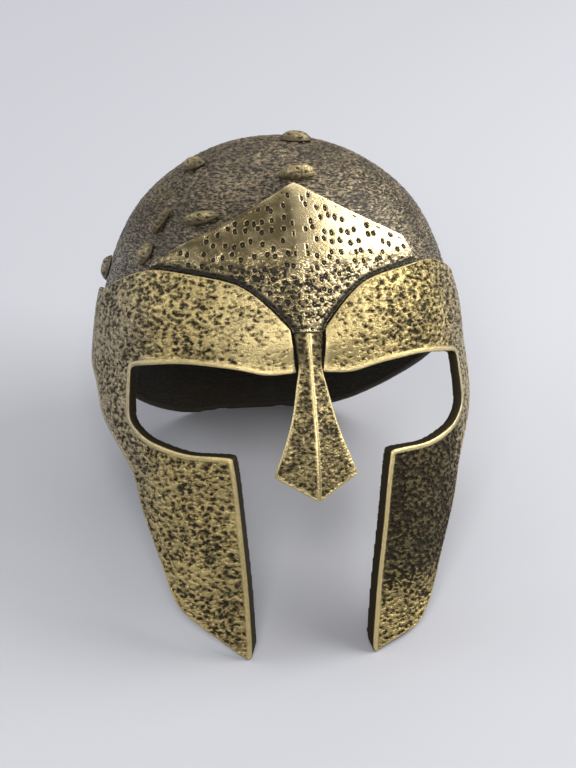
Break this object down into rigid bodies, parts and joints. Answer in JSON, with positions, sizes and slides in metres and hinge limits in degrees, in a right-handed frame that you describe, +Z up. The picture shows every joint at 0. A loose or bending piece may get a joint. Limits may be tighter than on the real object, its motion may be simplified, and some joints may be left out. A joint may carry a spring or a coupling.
{
  "type": "gladiator helmet",
  "caption": "Hollow gladiator costume helmet with a domed skull, peaked forehead plate, nasal guard and two face guards around open eyes.",
  "frame": {"origin": "on the floor, below the middle of the helmet's outline, as it lies back on its cheek tips and rear rim", "axes": "+Z up from the floor, -Y towards the face side, +X towards the wearer's left"},
  "size_m": [0.2016, 0.2564, 0.2013],
  "materials": {
    "dark_bronze": "metallic bronze paint darkened with a brown-black wash over a wrinkled relief",
    "antique_gold": "bright antique gold paint, dark in its pits and low places, smooth along the ridges",
    "hammered_gold": "antique gold paint with a brown-black wash over a coarse hammered relief, smooth rims"
  },
  "bodies": {
    "root": {"skull": "dark_bronze", "forehead_plate": "antique_gold", "nasal_guard": "antique_gold", "face_guard_left": "hammered_gold", "face_guard_right": "hammered_gold", "boss_crown": "dark_bronze", "boss_front": "dark_bronze", "boss_right_upper": "dark_bronze", "boss_right_leaf": "dark_bronze", "boss_right_rib": "dark_bronze", "boss_right_lower": "dark_bronze", "boss_right_rear": "dark_bronze"}
  },
  "joints": []
}
